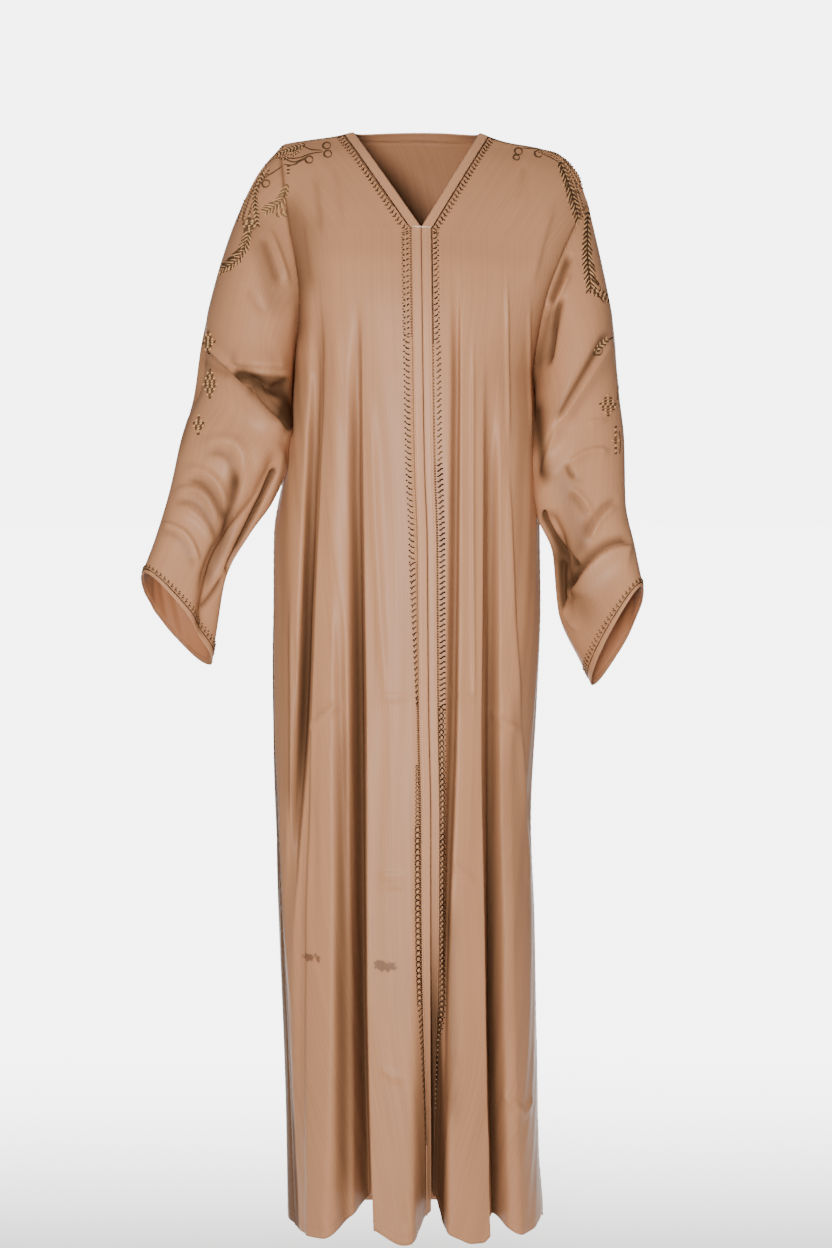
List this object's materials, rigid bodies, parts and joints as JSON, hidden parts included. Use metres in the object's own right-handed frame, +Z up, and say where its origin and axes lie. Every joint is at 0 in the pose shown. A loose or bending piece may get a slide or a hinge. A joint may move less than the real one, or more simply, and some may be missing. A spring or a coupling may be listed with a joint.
{
  "type": "two-piece abaya",
  "caption": "Full-length open-front satin abaya with a banded V neck, wide draped sleeves and embroidered trim, hanging as worn.",
  "frame": {"origin": "on the wearer's shoulder line in the middle of the neck, where the shoulders hold the garment up", "axes": "+Z up, +X towards the wearer's left, -Y towards the front"},
  "size_m": [0.652, 0.3225, 1.458],
  "materials": {
    "satin": "soft satin sheen",
    "band": "soft satin sheen",
    "facing": "matt reverse of the satin"
  },
  "bodies": {
    "root": {"front_right": "satin", "front_left": "satin", "back": "satin", "sleeve_right": "satin", "sleeve_left": "satin", "neck_band": "band", "placket_right": "band", "placket_left": "band", "cuff_facing_right": "facing", "cuff_facing_left": "facing"}
  },
  "joints": []
}
